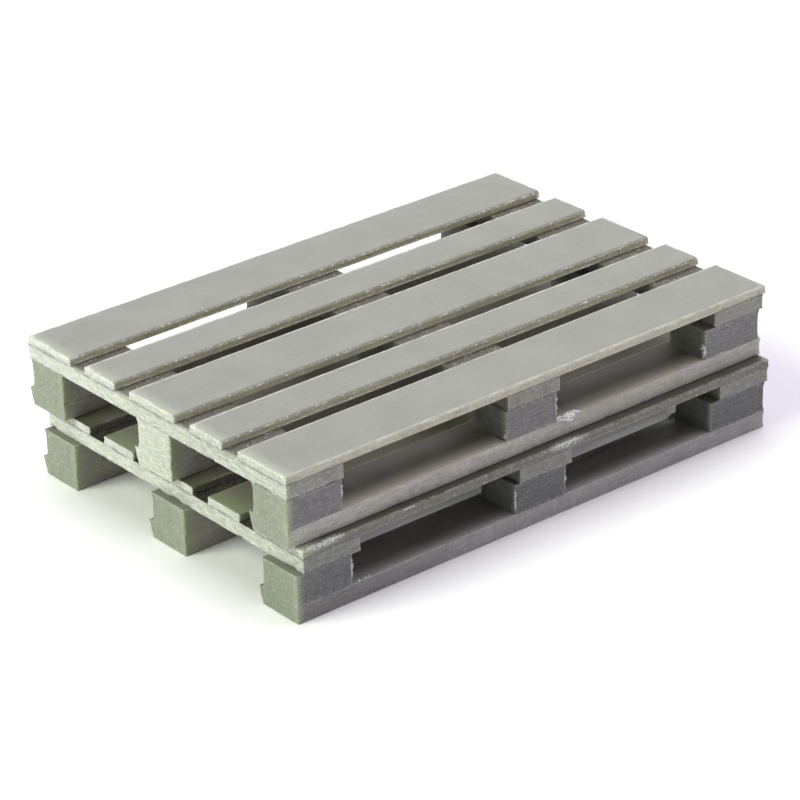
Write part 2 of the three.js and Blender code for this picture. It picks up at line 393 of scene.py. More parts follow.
# ---------- holes and pegs

HOLE_CLEARANCE = 0.3 * MM
OVERRUN = 5 * MM
SCREW_HEAD_HEIGHT = 8 * MM
SCREW_HOLE_IN_DECK = 10 * MM
SHANK_RADIUS = 5 * MM
PEG_RADIUS = 10 * MM
PEG_ROOT = 3 * MM
PEG_END_ROOM = 1 * MM
ROUND_SIDES = 32


def upright_cylinders(places):
    """One mesh of upright cylinders, each given as x, y, radius, bottom and top."""
    made = bmesh.new()
    for x, y, radius, bottom, top in places:
        middle = Matrix.Translation((x, y, (bottom + top) / 2))
        bmesh.ops.create_cone(
            made, cap_ends=True, segments=ROUND_SIDES, radius1=radius, radius2=radius,
            depth=top - bottom, matrix=middle,
        )
    mesh = bpy.data.meshes.new("cylinders")
    made.to_mesh(mesh)
    made.free()
    return linked("cylinders", mesh)


def combined(obj, tool, operation):
    """Cuts the tool out of the piece, or joins it on, and removes the tool's mesh."""
    modifier = obj.modifiers.new("combine", "BOOLEAN")
    modifier.operation = operation
    modifier.solver = "EXACT"
    modifier.object = tool
    evaluated = obj.evaluated_get(bpy.context.evaluated_depsgraph_get())
    result = bpy.data.meshes.new_from_object(evaluated)
    obj.modifiers.clear()
    old = obj.data
    obj.data = result
    bpy.data.meshes.remove(old)
    bpy.data.meshes.remove(tool.data)


def middle_of(node):
    """The middle of a CAD piece's box, along X and Y."""
    low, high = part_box(node)
    return (low.x + high.x) / 2, (low.y + high.y) / 2


def screw_holes(prefix, rows, columns, bottom, top):
    """Holes for the shanks of the screws of these rows and columns."""
    radius = SHANK_RADIUS + HOLE_CLEARANCE
    return [
        (*middle_of(f"{prefix}_coach_screw_{row}_{column}"), radius, bottom, top)
        for row in rows
        for column in columns
    ]


def head_recesses(prefix, row, bottom):
    """Room for the heads of one row's screws, open at the bottom."""
    recesses = []
    for column in COLUMNS:
        node = f"{prefix}_coach_screw_{row}_{column}"
        low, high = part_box(node)
        radius = (high.x - low.x) / 2 + HOLE_CLEARANCE
        recesses.append((*middle_of(node), radius, bottom, low.z + SCREW_HEAD_HEIGHT))
    return recesses


def peg_places(prefix, row):
    """Where a narrow deck board's pegs stand: at its middle, on each stringer's middle."""
    y = middle_of(f"{prefix}_deck_board_{row}")[1]
    return [(middle_of(f"{prefix}_stringer_{column}")[0], y) for column in COLUMNS]


# ---------- materials


def new_material(name):
    material = bpy.data.materials.new(name)
    material.use_nodes = True
    tree = material.node_tree
    tree.nodes.clear()
    return material, tree


def add(tree, kind, values=(), **settings):
    """A node with its settings, and with its inputs set to numbers or linked to outputs."""
    node = tree.nodes.new(kind)
    for key, value in settings.items():
        setattr(node, key, value)
    for key, value in dict(values).items():
        if isinstance(value, bpy.types.NodeSocket):
            tree.links.new(value, node.inputs[key])
        else:
            node.inputs[key].default_value = value
    return node


def maths(tree, operation, a, b=0.0, clamp=False):
    node = add(tree, "ShaderNodeMath", {0: a, 1: b}, operation=operation, use_clamp=clamp)
    return node.outputs[0]


def times(tree, *factors):
    """The product of two or more numbers or outputs."""
    product = factors[0]
    for factor in factors[1:]:
        product = maths(tree, "MULTIPLY", product, factor)
    return product


def in_range(tree, value, low, high, out_low=0.0, out_high=1.0):
    node = add(
        tree, "ShaderNodeMapRange",
        {"Value": value, "From Min": low, "From Max": high, "To Min": out_low, "To Max": out_high},
        interpolation_type="SMOOTHSTEP",
    )
    return node.outputs[0]


def mixed(tree, amount, a, b, blend="MIX"):
    node = add(tree, "ShaderNodeMix", {0: amount, 6: a, 7: b}, data_type="RGBA", blend_type=blend)
    return node.outputs[2]


def attribute(tree, name):
    return add(tree, "ShaderNodeAttribute", attribute_name=name).outputs["Fac"]


def stretched(tree, coordinates, scale):
    node = add(tree, "ShaderNodeMapping", {"Vector": coordinates, "Scale": scale})
    return node.outputs[0]


def noise_texture(tree, coordinates, scale, detail=3.0, roughness=0.55):
    node = add(
        tree, "ShaderNodeTexNoise",
        {"Vector": coordinates, "Scale": scale, "Detail": detail, "Roughness": roughness},
    )
    return node.outputs[0]


def finished(tree, values, shader="ShaderNodeBsdfPrincipled"):
    """The shader with these inputs, joined to the material's output."""
    made = add(tree, shader, values)
    add(tree, "ShaderNodeOutputMaterial", {"Surface": made.outputs[0]})


def face_tones(tree, palette):
    """Planed tops, sawn sides and sawn ends each have their own tone, into which the
    palettes also paint light and shade.
    """
    colour = mixed(tree, attribute(tree, "end_face"), palette["side"], palette["end"])
    return mixed(tree, attribute(tree, "top_face"), colour, palette["top"])


def clouded(tree, colour, where):
    """Slow clouds in the melt, and finer mottling where it isn't planed."""
    shade = in_range(tree, noise_texture(tree, where, 11.0, 5.0, 0.65), 0.3, 0.7, 0.94, 1.06)
    colour = mixed(tree, 1.0, colour, shade, "MULTIPLY")
    mottle = in_range(tree, noise_texture(tree, where, 90.0, 4.0, 0.7), 0.32, 0.68, 0.90, 1.10)
    unplaned = in_range(tree, attribute(tree, "top_face"), 0.0, 1.0, 1.0, 0.3)
    return mixed(tree, unplaned, colour, mottle, "MULTIPLY")


def left_darkened(tree, colour, palette):
    """Sides that grow darker towards the pallet's left end."""
    shade = in_range(tree, attribute(tree, "from_left"), 0.05, 0.5, palette["left_shade"], 1.0)
    return mixed(tree, attribute(tree, "side_face"), colour, shade, "MULTIPLY")


CORNER_REACH = 18 * MM


def painted_glow(tree, colour, palette):
    """Painted glow: the left ends and the front corners painted paler and greener, standing in for
    light that soaks into the plastic.
    """
    end = attribute(tree, "end_face")
    not_end = maths(tree, "SUBTRACT", 1.0, end)
    on_top = in_range(tree, attribute(tree, "top_face"), 0.0, 1.0, 1.0, palette["top_soak"])
    near = in_range(tree, attribute(tree, "from_left"), 0.0, palette["soak_reach"], 1.0, 0.0)
    near = times(tree, near, palette["soak"], not_end, on_top)
    colour = mixed(tree, near, colour, palette["glow"])
    corner = in_range(tree, attribute(tree, "from_front"), 0.0, CORNER_REACH, palette["corner"], 0.0)
    return mixed(tree, times(tree, corner, end), colour, palette["corner_glow"])


def painted_rim_highlights(tree, colour, where, palette):
    """Painted highlight: a pale, broken line along the edges of planed tops, fainter at the front.
    """
    rim = in_range(tree, attribute(tree, "edge_distance"), 4 * MM, 9 * MM, palette["rim"], 0.0)
    broken = in_range(tree, noise_texture(tree, where, 34.0, 4.0, 0.7), 0.38, 0.60, 0.25, 1.0)
    rear = in_range(tree, attribute(tree, "rear_half"), 0.0, 1.0, palette["front_rim"], 1.0)
    rim = times(tree, rim, broken, attribute(tree, "top_face"), rear)
    return mixed(tree, rim, colour, palette["rim_highlight_colour"])


def painted_front_light(tree, colour, palette):
    """Painted light: tops painted paler next to their front edge, where light comes in."""
    near = in_range(tree, attribute(tree, "from_front"), 0.0, palette["front_reach"], 1.0, 0.0)
    near = times(tree, near, attribute(tree, "top_face"))
    return mixed(tree, near, colour, palette["front"])


def painted_edge_shade(tree, colour, palette):
    """Painted shade along the front top edge."""
    from_rim = attribute(tree, "from_front_rim")
    near = in_range(tree, from_rim, 0.0, palette["edge_shade_reach"], 1.0, 0.0)
    return mixed(tree, near, colour, palette["edge_shade"], "MULTIPLY")


def scaled_by(tree, colour, amount, factor):
    """The colour made darker or lighter by the factor, as far as the amount says."""
    return mixed(tree, amount, colour, (factor, factor, factor, 1), "MULTIPLY")


def marked(tree, colour, marks_height, where_marked, strength, dark, pale):
    """Darker lines at the high marks and paler ones at the low marks."""
    for start, end, factor in ((0.50, 0.66, dark), (0.48, 0.34, pale)):
        mark = in_range(tree, marks_height, start, end)
        colour = scaled_by(tree, colour, times(tree, mark, where_marked, strength), factor)
    return colour


def saw_streaks(tree, where):
    """Short level streaks, from 0 to 1."""
    return noise_texture(tree, stretched(tree, where, (26.0, 90.0, 360.0)), 1.0, 5.0, 0.75)


def cutter_swirls(tree, where):
    """Curved marks across the piece, as a turning cutter leaves them, from 0 to 1."""
    parts = add(tree, "ShaderNodeSeparateXYZ", {0: where}).outputs
    in_from_front = attribute(tree, "from_front")
    bend = times(tree, maths(tree, "POWER", in_from_front, 2.0), 6.0)
    bent = maths(tree, "ADD", parts["X"], bend)
    along = add(tree, "ShaderNodeCombineXYZ", {"X": bent, "Y": in_from_front, "Z": parts["Z"]})
    lines = stretched(tree, along.outputs[0], (240.0, 22.0, 22.0))
    return noise_texture(tree, lines, 1.0, 4.0, 0.7)


def frosted(tree, colour, where, palette):
    """Sawn ends, whitened in short level patches, and painted paler towards the rear for the light
    there.
    """
    patches = noise_texture(tree, stretched(tree, where, (80.0, 48.0, 200.0)), 1.0, 4.0, 0.75)
    amount = in_range(tree, patches, 0.34, 0.66, palette["frost_least"], palette["frost_most"])
    rearward = add(tree, "ShaderNodeSeparateXYZ", {0: where}).outputs["Y"]
    far = in_range(tree, rearward, -0.25, 0.35, 0.0, palette["rearward_light"])
    amount = maths(tree, "ADD", amount, far, clamp=True)
    return mixed(tree, times(tree, amount, attribute(tree, "end_face")), colour, palette["frost"])


def glints(tree, where, palette):
    """White specks and dashes, from 0 to 1: torn plastic, and painted glints that stand in for
    highlights on small chips.
    """
    end, side = attribute(tree, "end_face"), attribute(tree, "side_face")
    edge = attribute(tree, "edge_distance")
    dashes = noise_texture(tree, stretched(tree, where, (130.0, 130.0, 400.0)), 1.0, 2.0, 0.8)
    share = times(tree, end, palette["end_glints"])
    share = maths(tree, "ADD", share, times(tree, side, palette["side_glints"]), clamp=True)
    on_top = times(tree, attribute(tree, "top_face"), palette["top_glints"])
    share = maths(tree, "ADD", share, on_top, clamp=True)
    specks = in_range(tree, noise_texture(tree, where, 260.0, 2.0, 0.6), 0.66, 0.71)
    seam = in_range(tree, edge, 1 * MM, 4 * MM, palette["flecks"], 0.0)
    rim = in_range(tree, edge, 2 * MM, 9 * MM, palette["side_flecks"], 0.0)
    ragged = in_range(tree, noise_texture(tree, where, 210.0, 4.0, 0.8), 0.46, 0.55)
    found = times(tree, in_range(tree, dashes, 0.59, 0.65), share)
    for more in (
        times(tree, specks, end, palette["specks"]),
        times(tree, in_range(tree, dashes, 0.50, 0.58), seam, end),
        times(tree, in_range(tree, dashes, 0.55, 0.61), rim, side),
        times(tree, ragged, attribute(tree, "scuff")),
    ):
        found = maths(tree, "MAXIMUM", found, more)
    return found


def roughness(tree, where):
    """Satin where planed and duller where sawn."""
    rough = in_range(tree, noise_texture(tree, where, 14.0, 3.0), 0.3, 0.7, 0.34, 0.44)
    for face, more in (("end_face", 0.22), ("side_face", 0.12)):
        rough = maths(tree, "ADD", rough, times(tree, attribute(tree, face), more))
    return rough


def relief(tree, where, streaks, swirl, swirls, glint):
    """The bump: saw marks on the sides, torn ends, cutter marks on top, grit everywhere."""
    height = times(tree, noise_texture(tree, where, 260.0, 3.0, 0.6), 0.14)
    torn = noise_texture(tree, stretched(tree, where, (150.0, 150.0, 380.0)), 1.0, 3.0, 0.8)
    for more in (
        times(tree, streaks, attribute(tree, "side_face")),
        times(tree, torn, attribute(tree, "end_face"), 1.4),
        times(tree, swirl, attribute(tree, "top_face"), swirls),
        times(tree, glint, 0.3),
    ):
        height = maths(tree, "ADD", height, more)
    bump = add(tree, "ShaderNodeBump", {"Height": height, "Strength": 0.6, "Distance": 0.9 * MM})
    return bump.outputs[0]


def plastic(name, palette, swirls):
    """Recycled plastic lumber: satin where planed, streaked where sawn, frosted on its ends,
    with painted glows, highlights, glints and shade.
    """
    material, tree = new_material(name)
    where = add(tree, "ShaderNodeTexCoord").outputs["Object"]
    streaks = saw_streaks(tree, where)
    swirl = cutter_swirls(tree, where)
    glint = glints(tree, where, palette)
    colour = clouded(tree, face_tones(tree, palette), where)
    colour = left_darkened(tree, colour, palette)
    colour = painted_front_light(tree, colour, palette)
    colour = painted_glow(tree, colour, palette)
    colour = painted_edge_shade(tree, colour, palette)
    colour = painted_rim_highlights(tree, colour, where, palette)
    side, top = attribute(tree, "side_face"), attribute(tree, "top_face")
    colour = marked(tree, colour, streaks, side, palette["streak"], 0.55, 1.35)
    colour = marked(tree, colour, swirl, top, swirls, 0.7, 1.4)
    colour = frosted(tree, colour, where, palette)
    # Painted glints: white specks and dashes standing in for highlights on small chips, with torn
    # plastic.
    colour = mixed(tree, glint, colour, palette["glint"])
    finished(tree, {
        "Base Color": colour,
        "Roughness": roughness(tree, where),
        "Normal": relief(tree, where, streaks, swirl, swirls, glint),
        "Metallic": times(tree, glint, 0.45),
        "IOR": 1.5,
        "Subsurface Weight": 0.7,
        "Subsurface Radius": (1.0, 0.95, 0.6),
        "Subsurface Scale": 14 * MM,
    })
    return material


def torn_plastic(name):
    """Burrs: thin torn plastic, nearly white, with the grey-green showing through."""
    material, tree = new_material(name)
    where = add(tree, "ShaderNodeTexCoord").outputs["Object"]
    patches = in_range(tree, noise_texture(tree, where, 260.0, 3.0, 0.7), 0.35, 0.6)
    colour = mixed(tree, patches, (0.60, 0.62, 0.55, 1), (0.95, 0.96, 0.93, 1))
    rough = in_range(tree, patches, 0.0, 1.0, 0.25, 0.5)
    bump = add(tree, "ShaderNodeBump", {"Height": patches, "Strength": 0.4, "Distance": 0.4 * MM})
    finished(tree, {
        "Base Color": colour,
        "Roughness": rough,
        "Normal": bump.outputs[0],
        "Metallic": times(tree, patches, 0.5),
        "IOR": 1.5,
        "Subsurface Weight": 1.0,
        "Subsurface Radius": (1.0, 1.0, 0.8),
        "Subsurface Scale": 6 * MM,
    })
    return material


def zinc(name):
    """Zinc plate on the screws, slightly mottled."""
    material, tree = new_material(name)
    where = add(tree, "ShaderNodeTexCoord").outputs["Object"]
    mottle = noise_texture(tree, where, 180.0, 4.0)
    colour = mixed(tree, mottle, (0.42, 0.43, 0.44, 1), (0.62, 0.63, 0.64, 1))
    rough = in_range(tree, mottle, 0.3, 0.7, 0.28, 0.45)
    bump = add(tree, "ShaderNodeBump", {"Height": mottle, "Strength": 0.3, "Distance": 0.2 * MM})
    finished(tree, {
        "Base Color": colour,
        "Roughness": rough,
        "Normal": bump.outputs[0],
        "Metallic": 1.0,
    })
    return material


def one_tone(red, green, blue):
    """A top that keeps its colour up to its front edge."""
    return {"top": (red, green, blue, 1), "front": (red, green, blue, 1)}


# How each part looks: linear colours, lengths in metres, and the rest shares from 0 to 1.
# top, side, end: the tone of planed tops, sawn sides and sawn ends
# front, front_reach: painted light on the top next to its front edge, and how far it reaches
# brown, edge_shade_reach: painted shade along the front top edge, what it is multiplied by, and how
# far
# rim, rim_highlight_colour, front_rim: the painted highlight along the top's edges, and its share in
# front
# glow, soak, soak_reach, top_soak: painted glow for light that soaks in at the left end, and its
# share on top
# corner, corner_glow: painted glow for light that soaks in at the front corner of an end
# frost, frost_least, frost_most, rearward_light: whitening of an end, and the end painted paler to
# the rear for the light there glint, end_glints, side_glints, top_glints, specks, flecks,
# side_flecks: white bits, torn plastic and painted glints
# streak, left_shade: strength of saw streaks, and darkening of sides towards the left
COMMON = {
    "frost": (0.70, 0.74, 0.62, 1),
    "frost_least": 0.0,
    "frost_most": 0.12,
    "glint": (0.90, 0.92, 0.86, 1),
    "end_glints": 0.22,
    "side_glints": 0.30,
    "top_glints": 0.0,
    "specks": 0.8,
    "flecks": 0.2,
    "side_flecks": 0.45,
    "rim": 0.0,
    "front_rim": 1.0,
    "edge_shade": (1.0, 1.0, 1.0, 1),
    "edge_shade_reach": 1 * MM,
    "rim_highlight_colour": (0.56, 0.56, 0.48, 1),
    "soak": 0.8,
    "soak_reach": 20 * MM,
    "top_soak": 0.0,
    "glow": (0.50, 0.55, 0.38, 1),
    "corner": 0.0,
    "corner_glow": (0.46, 0.52, 0.37, 1),
    "front": (0.3, 0.3, 0.3, 1),
    "front_reach": 1 * MM,
    "streak": 0.5,
    "left_shade": 1.0,
    "rearward_light": 0.0,
}

# Sawn ends whitened all over, and painted paler towards the rear for the light there.
WHITENED = {
    "end": (0.50, 0.54, 0.44, 1),
    "frost": (0.88, 0.92, 0.81, 1),
    "frost_least": 0.05,
    "frost_most": 0.82,
    "rearward_light": 0.38,
    "end_glints": 0.8,
    "flecks": 0.9,
}

# Deck boards: sides painted light and brownish, standing in for light that comes through the
# plastic, a painted glow at the left end and a painted highlight along the top's edges.
DECK = COMMON | WHITENED | one_tone(0.336, 0.347, 0.296) | {
    "side": (0.66, 0.63, 0.53, 1),
    "glow": (0.50, 0.53, 0.43, 1),
    "soak": 0.85,
    "soak_reach": 36 * MM,
    "top_soak": 1.0,
    "rim": 1.0,
    "streak": 0.35,
}

# The boards behind the front one, with painted shade along their front top edges, no painted
# highlight at the front, and sides painted browner.
SHADED_EDGE_DECK = DECK | {
    "side": (0.64, 0.615, 0.475, 1),
    "side_glints": 0.5,
    "side_flecks": 0.9,
    "front_rim": 0.0,
    "rim_highlight_colour": (0.74, 0.75, 0.66, 1),
    "edge_shade": (0.58, 0.57, 0.52, 1),
    "edge_shade_reach": 9 * MM,
}

# Stringers: tops, seen only in the gaps between deck boards, painted dark for the shade there, and a
# painted glow at the left end.
STRINGER = COMMON | WHITENED | one_tone(0.105, 0.100, 0.072) | {
    "side": (0.375, 0.365, 0.325, 1),
    "end": (0.46, 0.50, 0.40, 1),
    "glow": (0.56, 0.59, 0.47, 1),
    "soak_reach": 14 * MM,
    "top_soak": 1.0,
    "side_glints": 0.45,
    "top_glints": 0.35,
}

# The middle and right stringers, whose left faces are in the openings, painted dark for the shade
# there and without a glow.
INNER_STRINGER = STRINGER | {
    "end": (0.15, 0.155, 0.13, 1),
    "frost_most": 0.1,
    "rearward_light": 0.0,
    "end_glints": 0.1,
    "flecks": 0.1,
    "specks": 0.1,
    "soak": 0.0,
}

# Blocks: a painted glow at the front corner of the left end.
BLOCK = COMMON | one_tone(0.20, 0.205, 0.165) | {
    "side": (0.266, 0.259, 0.263, 1),
    "side_glints": 0.32,
    "end": (0.355, 0.388, 0.302, 1),
    "corner": 0.6,
}

# Bottom boards: tops painted dark for the shade inside the openings and paler next to the front edge
# for the light that comes in there, and a painted glow at the front corner of the left end.
BOTTOM = COMMON | {
    "top": (0.198, 0.188, 0.168, 1),
    "side": (0.63, 0.60, 0.56, 1),
    "end": (0.355, 0.388, 0.302, 1),
    "corner": 0.6,
    "front": (0.88, 0.84, 0.78, 1),
    "front_reach": 55 * MM,
}

# The lower pallet's deck, painted darker than the upper one for the shade under the upper pallet,
# with a wider painted glow at the left end and a dimmer painted highlight along the top's edges.
LOWER_DECK = DECK | one_tone(0.24, 0.235, 0.175) | {
    "side": (0.235, 0.23, 0.205, 1),
    "glow": (0.46, 0.51, 0.34, 1),
    "soak": 0.9,
    "soak_reach": 80 * MM,
    "rim": 0.5,
    "rim_highlight_colour": (0.40, 0.41, 0.33, 1),
}

# The front one, whose top is almost covered and painted dark for the shade there, with a pale lip
# that is a painted highlight.
LOWER_FRONT_DECK = LOWER_DECK | one_tone(0.085, 0.085, 0.066) | {"rim": 0.75}

# The wide boards behind the front one, almost covered by the upper pallet's feet and painted dark
# for the shade there, with a dim painted glow and a faint painted highlight.
COVERED_DECK = LOWER_DECK | one_tone(0.20, 0.195, 0.15) | {
    "glow": (0.11, 0.12, 0.07, 1),
    "rim": 0.1,
}

# The lower pallet's stringers, blocks and bottom boards: sides painted darker than the upper
# pallet's, block and bottom board ends too, and the stringer tops darker still, for the shade low
# down, near the floor and under the upper pallet.
LOWER_STRINGER = STRINGER | {
    "top": (0.055, 0.053, 0.04, 1),
    "top_soak": 0.2,
    "side": (0.33, 0.33, 0.305, 1),
    "front": (0.07, 0.07, 0.05, 1),
    "top_glints": 0.2,
}
LOWER_INNER_STRINGER = INNER_STRINGER | {"side": (0.33, 0.33, 0.305, 1)}

LOWER_BLOCK = BLOCK | {"side": (0.214, 0.210, 0.222, 1), "end": (0.30, 0.338, 0.252, 1)}
LOWER_BOTTOM = BOTTOM | {
    "top": (0.22, 0.214, 0.205, 1),
    "side": (0.49, 0.475, 0.48, 1),
    "left_shade": 0.62,
    "end": (0.30, 0.338, 0.252, 1),
    "front": (0.70, 0.68, 0.67, 1),
    "front_reach": 48 * MM,
}

# Left ends behind the front row: a painted glow at the corner, and sides painted dark for the
# shade in the openings.
SHADED = {
    "side": (0.41, 0.40, 0.35, 1),
    "glow": (0.42, 0.48, 0.30, 1),
    "soak": 0.9,
    "soak_reach": 30 * MM,
    "streak": 0.3,
    "side_glints": 0.1,
}
SHADED_BLOCK = BLOCK | SHADED
SHADED_BOTTOM = BOTTOM | SHADED | one_tone(0.28, 0.27, 0.235)
FROSTED_BLOCK = SHADED_BLOCK | WHITENED
FROSTED_BOTTOM = SHADED_BOTTOM | WHITENED

# Blocks inside the long openings, which no light reaches from the left: their left faces painted
# dark for the shade there.
UNLIT = {
    "end": (0.165, 0.167, 0.148, 1),
    "end_glints": 0.04,
    "soak": 0.0,
    "corner": 0.4,
    "specks": 0.05,
    "flecks": 0.0,
}
INNER_BLOCK = BLOCK | UNLIT
LOWER_INNER_BLOCK = LOWER_BLOCK | UNLIT | {
    "end": (0.14, 0.14, 0.135, 1),
    "side": (0.182, 0.179, 0.188, 1),
}

PALETTES = {
    "upper_deck": SHADED_EDGE_DECK,
    "upper_front_deck": DECK,
    "lower_deck": LOWER_DECK,
    "lower_front_deck": LOWER_FRONT_DECK,
    "covered_deck": COVERED_DECK,
    "upper_stringer": STRINGER,
    "lower_stringer": LOWER_STRINGER,
    "upper_inner_stringer": INNER_STRINGER,
    "lower_inner_stringer": LOWER_INNER_STRINGER,
    "upper_block": BLOCK,
    "lower_block": LOWER_BLOCK,
    "upper_inner_block": INNER_BLOCK,
    "lower_inner_block": LOWER_INNER_BLOCK,
    "shaded_block": SHADED_BLOCK,
    "frosted_block": FROSTED_BLOCK,
    "shaded_bottom": SHADED_BOTTOM,
    "frosted_bottom": FROSTED_BOTTOM,
    "upper_bottom": BOTTOM,
    "lower_bottom": LOWER_BOTTOM,
}
# How strongly the turning cutter marked the tops.
SWIRLS = {"upper_bottom": 0.22, "lower_bottom": 0.22}

MATERIALS = {
    name: plastic(f"{name}_plastic", palette, SWIRLS.get(name, 0.0))
    for name, palette in PALETTES.items()
}
MATERIALS["torn"] = torn_plastic("torn_plastic")
MATERIALS["screw"] = zinc("screw_zinc")

# ---------- the pallets


SHARP = (0.5 * MM, 0.5 * MM, 0.5 * MM)
DECK_THICKNESS = 16 * MM
BEVEL_RISE, BEVEL_RUN = 18 * MM, 9 * MM
CHIP_SEED, SCUFF_SEED = 11, 31
END_SEEDS = {"lower": 23, "upper": 47}

# Boards painted with other light and shade than the rest of their deck.
DECK_LIGHT_AND_SHADE = {
    "upper_deck_board_front": "upper_front_deck",
    "lower_deck_board_front": "lower_front_deck",
    "lower_deck_board_centre": "covered_deck",
    "lower_deck_board_rear": "covered_deck",
}

# Torn patches: each a place from the piece's low corner, and how far it reaches, in metres.
SCUFFS = {
    "lower_deck_board_front": (
        ((0.050, 0.0, 0.016), (0.062, 0.014, 0.012)),
        ((0.635, 0.0, 0.016), (0.055, 0.012, 0.014)),
    ),
}

# Burrs on the blocks' front upright edges: pallet, row, column, whether on the right, from
# and to heights and length in millimetres, and seed.
UPRIGHT_BURRS = (
    ("upper", "front", "left", True, 2, 60, 8.0, 11),
    ("lower", "front", "left", True, 0, 54, 17.0, 12),
    ("upper", "front", "middle", True, 4, 60, 8.0, 13),
    ("upper", "front", "middle", False, 0, 26, 9.0, 14),
    ("lower", "front", "middle", True, 4, 58, 11.0, 15),
    ("lower", "front", "middle", False, 0, 60, 6.0, 17),
    ("upper", "front", "right", False, 0, 34, 16.0, 16),
)

# Burrs along the front top edge of a bottom board, on the right of a block: the block's
# column, length and height in millimetres, and seed.
LEDGE_BURRS = {
    "upper": (("left", 45, 7.0, 21), ("middle", 20, 5.0, 22)),
    "lower": (("left", 56, 11.0, 23), ("middle", 40, 6.0, 24)),
}


def dressed(obj, node, material):
    """Gives a new piece its material, and its CAD piece's place and body."""
    body = node.split("_")[0] + "_pallet"
    obj.data.materials.clear()
    obj.data.materials.append(MATERIALS[material])
    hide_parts(node)
    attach(obj, body)


def bored(obj, holes):
    combined(obj, upright_cylinders(holes), "DIFFERENCE")


def deck_board(prefix, row, turn, left_end, seed):
    node = f"{prefix}_deck_board_{row}"
    full_low, high = own_box(node, turn)
    low = np.array((*full_low[:2], high[2] - DECK_THICKNESS))
    step = (6 * MM, 12 * MM, 4 * MM)
    rear_top = (3 * MM, 4 * MM, 3 * MM)
    top = rear_top
    if prefix == "upper":
        top = (4 * MM, 6 * MM, 4 * MM) if row == "front" else (4 * MM, 9 * MM, 6 * MM)
    piece = Sawn(low, high, step, top, SHARP, 5 * MM, left_end, rear_top)
    wavy_sides(piece, seed)
    chipped_edges(piece, seed + CHIP_SEED, depth=2 * MM, share=0.12, spared=("bottom",))
    rough_ends(piece, END_SEEDS[prefix])
    for place, reach in SCUFFS.get(node, ()):
        scuffed(piece, place, reach, seed + SCUFF_SEED)
    obj = sawn_object(f"{node}_sawn", piece, turn)
    if row.endswith("inner"):
        end = low[2] + PEG_ROOT
        pegs = [(x, y, PEG_RADIUS, full_low[2], end) for x, y in peg_places(prefix, row)]
        combined(obj, upright_cylinders(pegs), "UNION")
    else:
        bottom, end = low[2] - OVERRUN, low[2] + SCREW_HOLE_IN_DECK
        bored(obj, screw_holes(prefix, [row], COLUMNS, bottom, end))
    palette_name = DECK_LIGHT_AND_SHADE.get(node, f"{prefix}_deck")
    dressed(obj, node, palette_name)


def stringer(prefix, column, turn, left_end, seed):
    node = f"{prefix}_stringer_{column}"
    low, high = own_box(node, turn)
    step = (10 * MM, 7 * MM, 5 * MM)
    piece = Sawn(low, high, step, SHARP, SHARP, 3 * MM, left_end)
    wavy_sides(piece, seed)
    chipped_edges(piece, seed + CHIP_SEED, depth=2.5 * MM, share=0.15, spared=("top",))
    rough_ends(piece, END_SEEDS[prefix])
    obj = sawn_object(f"{node}_sawn", piece, turn)
    holes = screw_holes(prefix, ROWS, [column], low[2] - OVERRUN, high[2] + OVERRUN)
    for row in ("front_inner", "rear_inner"):
        x, y = peg_places(prefix, row)[COLUMNS.index(column)]
        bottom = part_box(f"{prefix}_deck_board_{row}")[0].z - PEG_END_ROOM
        holes.append((x, y, PEG_RADIUS + HOLE_CLEARANCE, bottom, high[2] + OVERRUN))
    bored(obj, holes)
    palette_name = f"{prefix}_stringer" if column == "left" else f"{prefix}_inner_stringer"
    dressed(obj, node, palette_name)


def block(prefix, row, column, turn, left_end, seed):
    node = f"{prefix}_block_{row}_{column}"
    low, high = own_box(node, turn)
    step = (6 * MM, 8 * MM, 5 * MM)
    piece = Sawn(low, high, step, SHARP, SHARP, 6 * MM, left_end)
    wavy_sides(piece, seed, depth=0.7 * MM, length=0.06)
    chipped_edges(piece, seed + CHIP_SEED, depth=2 * MM, share=0.15, spared=("top", "bottom"))
    rough_ends(piece, END_SEEDS[prefix], depth=0.6 * MM)
    obj = sawn_object(f"{node}_sawn", piece, turn)
    bored(obj, screw_holes(prefix, [row], [column], low[2] - OVERRUN, high[2] + OVERRUN))
    palette_name = f"{prefix}_block" if column == "left" else f"{prefix}_inner_block"
    if column == "left" and row != "front":
        palette_name = "shaded_block"
    if node == "upper_block_centre_left":
        palette_name = "frosted_block"
    dressed(obj, node, palette_name)


def right_gap(prefix, row, turn):
    """Where the gap between a row's middle and right blocks starts and ends along X."""
    start = own_box(f"{prefix}_block_{row}_middle", turn)[1][0]
    end = own_box(f"{prefix}_block_{row}_right", turn)[0][0]
    return start, end


def bottom_board(prefix, row, turn, left_end, seed):
    node = f"{prefix}_bottom_board_{row}"
    low, high = own_box(node, turn)
    step = (7 * MM, 10 * MM, 5 * MM)
    bottom = (2.5 * MM, 2.5 * MM, 2.5 * MM)
    piece = Sawn(low, high, step, SHARP, bottom, 6 * MM, left_end)
    share = (piece.points[:, 1] - low[1]) / (high[1] - low[1])
    under = np.clip(1 - (piece.points[:, 2] - low[2]) / BEVEL_RISE, 0, 1)
    piece.points[:, 1] -= share * under * BEVEL_RUN
    if node == "lower_bottom_board_front":
        worn_behind(piece, *right_gap(prefix, row, turn))
    wavy_sides(piece, seed)
    chipped_edges(piece, seed + CHIP_SEED, depth=2 * MM, share=0.12, spared=("top",))
    rough_ends(piece, END_SEEDS[prefix], depth=0.6 * MM)
    obj = sawn_object(f"{node}_sawn", piece, turn)
    bored(obj, screw_holes(prefix, [row], COLUMNS, low[2] - OVERRUN, high[2] + OVERRUN))
    bored(obj, head_recesses(prefix, row, low[2] - OVERRUN))
    palette_name = f"{prefix}_bottom" if row == "front" else "shaded_bottom"
    if node == "upper_bottom_board_centre":
        palette_name = "frosted_bottom"
    dressed(obj, node, palette_name)


